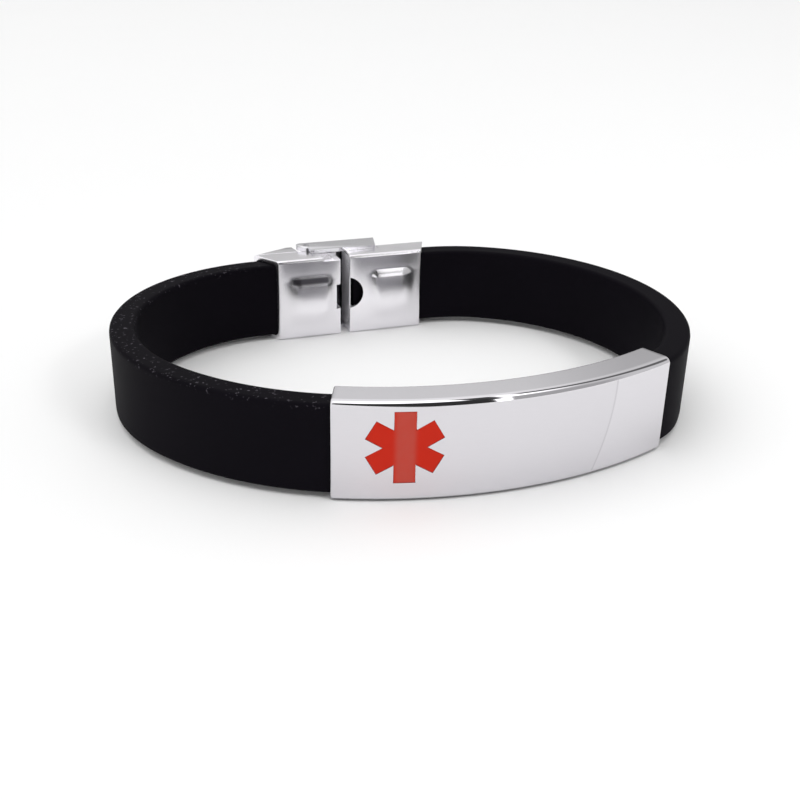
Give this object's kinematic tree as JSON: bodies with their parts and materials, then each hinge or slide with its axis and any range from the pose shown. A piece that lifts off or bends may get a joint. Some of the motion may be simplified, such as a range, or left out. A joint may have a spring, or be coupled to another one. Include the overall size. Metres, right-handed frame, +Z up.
{
  "type": "medical alert bracelet",
  "caption": "Silicone strap bracelet with a curved polished steel plate that carries an inlaid red star, closed by a fold-over clasp with crimped end caps.",
  "frame": {"origin": "middle of the whole bracelet at the level it rests on, the bracelet standing on the lower edges of its plate and clasp", "axes": "+Z up along the axis of the loop, -Y towards the plate, +Y towards the clasp, +X to the right as seen from the plate's side"},
  "size_m": [0.083, 0.0654, 0.0142],
  "materials": {
    "silicone": "matte moulded silicone rubber, black",
    "polished_steel": "mirror polished stainless steel",
    "red_enamel": "baked red enamel inlay",
    "clasp_steel": "tumbled and polished stainless steel",
    "cover_steel": "polished stainless steel sheet",
    "pin_steel": "drawn stainless steel wire"
  },
  "bodies": {
    "bracelet": {"strap": "silicone", "id_plate": "polished_steel", "medical_star": "red_enamel", "left_end_cap": "clasp_steel", "right_end_cap": "clasp_steel", "hinge_pin": "pin_steel"},
    "cover": {"clasp_cover": "cover_steel"}
  },
  "joints": [
    {"name": "cover_swing", "type": "hinge", "parent": "bracelet", "child": "cover", "pos_m": [-0.00614, 0.03105, 0.0068], "axis": [0, 0, 1], "range_deg": [0, 100]}
  ]
}
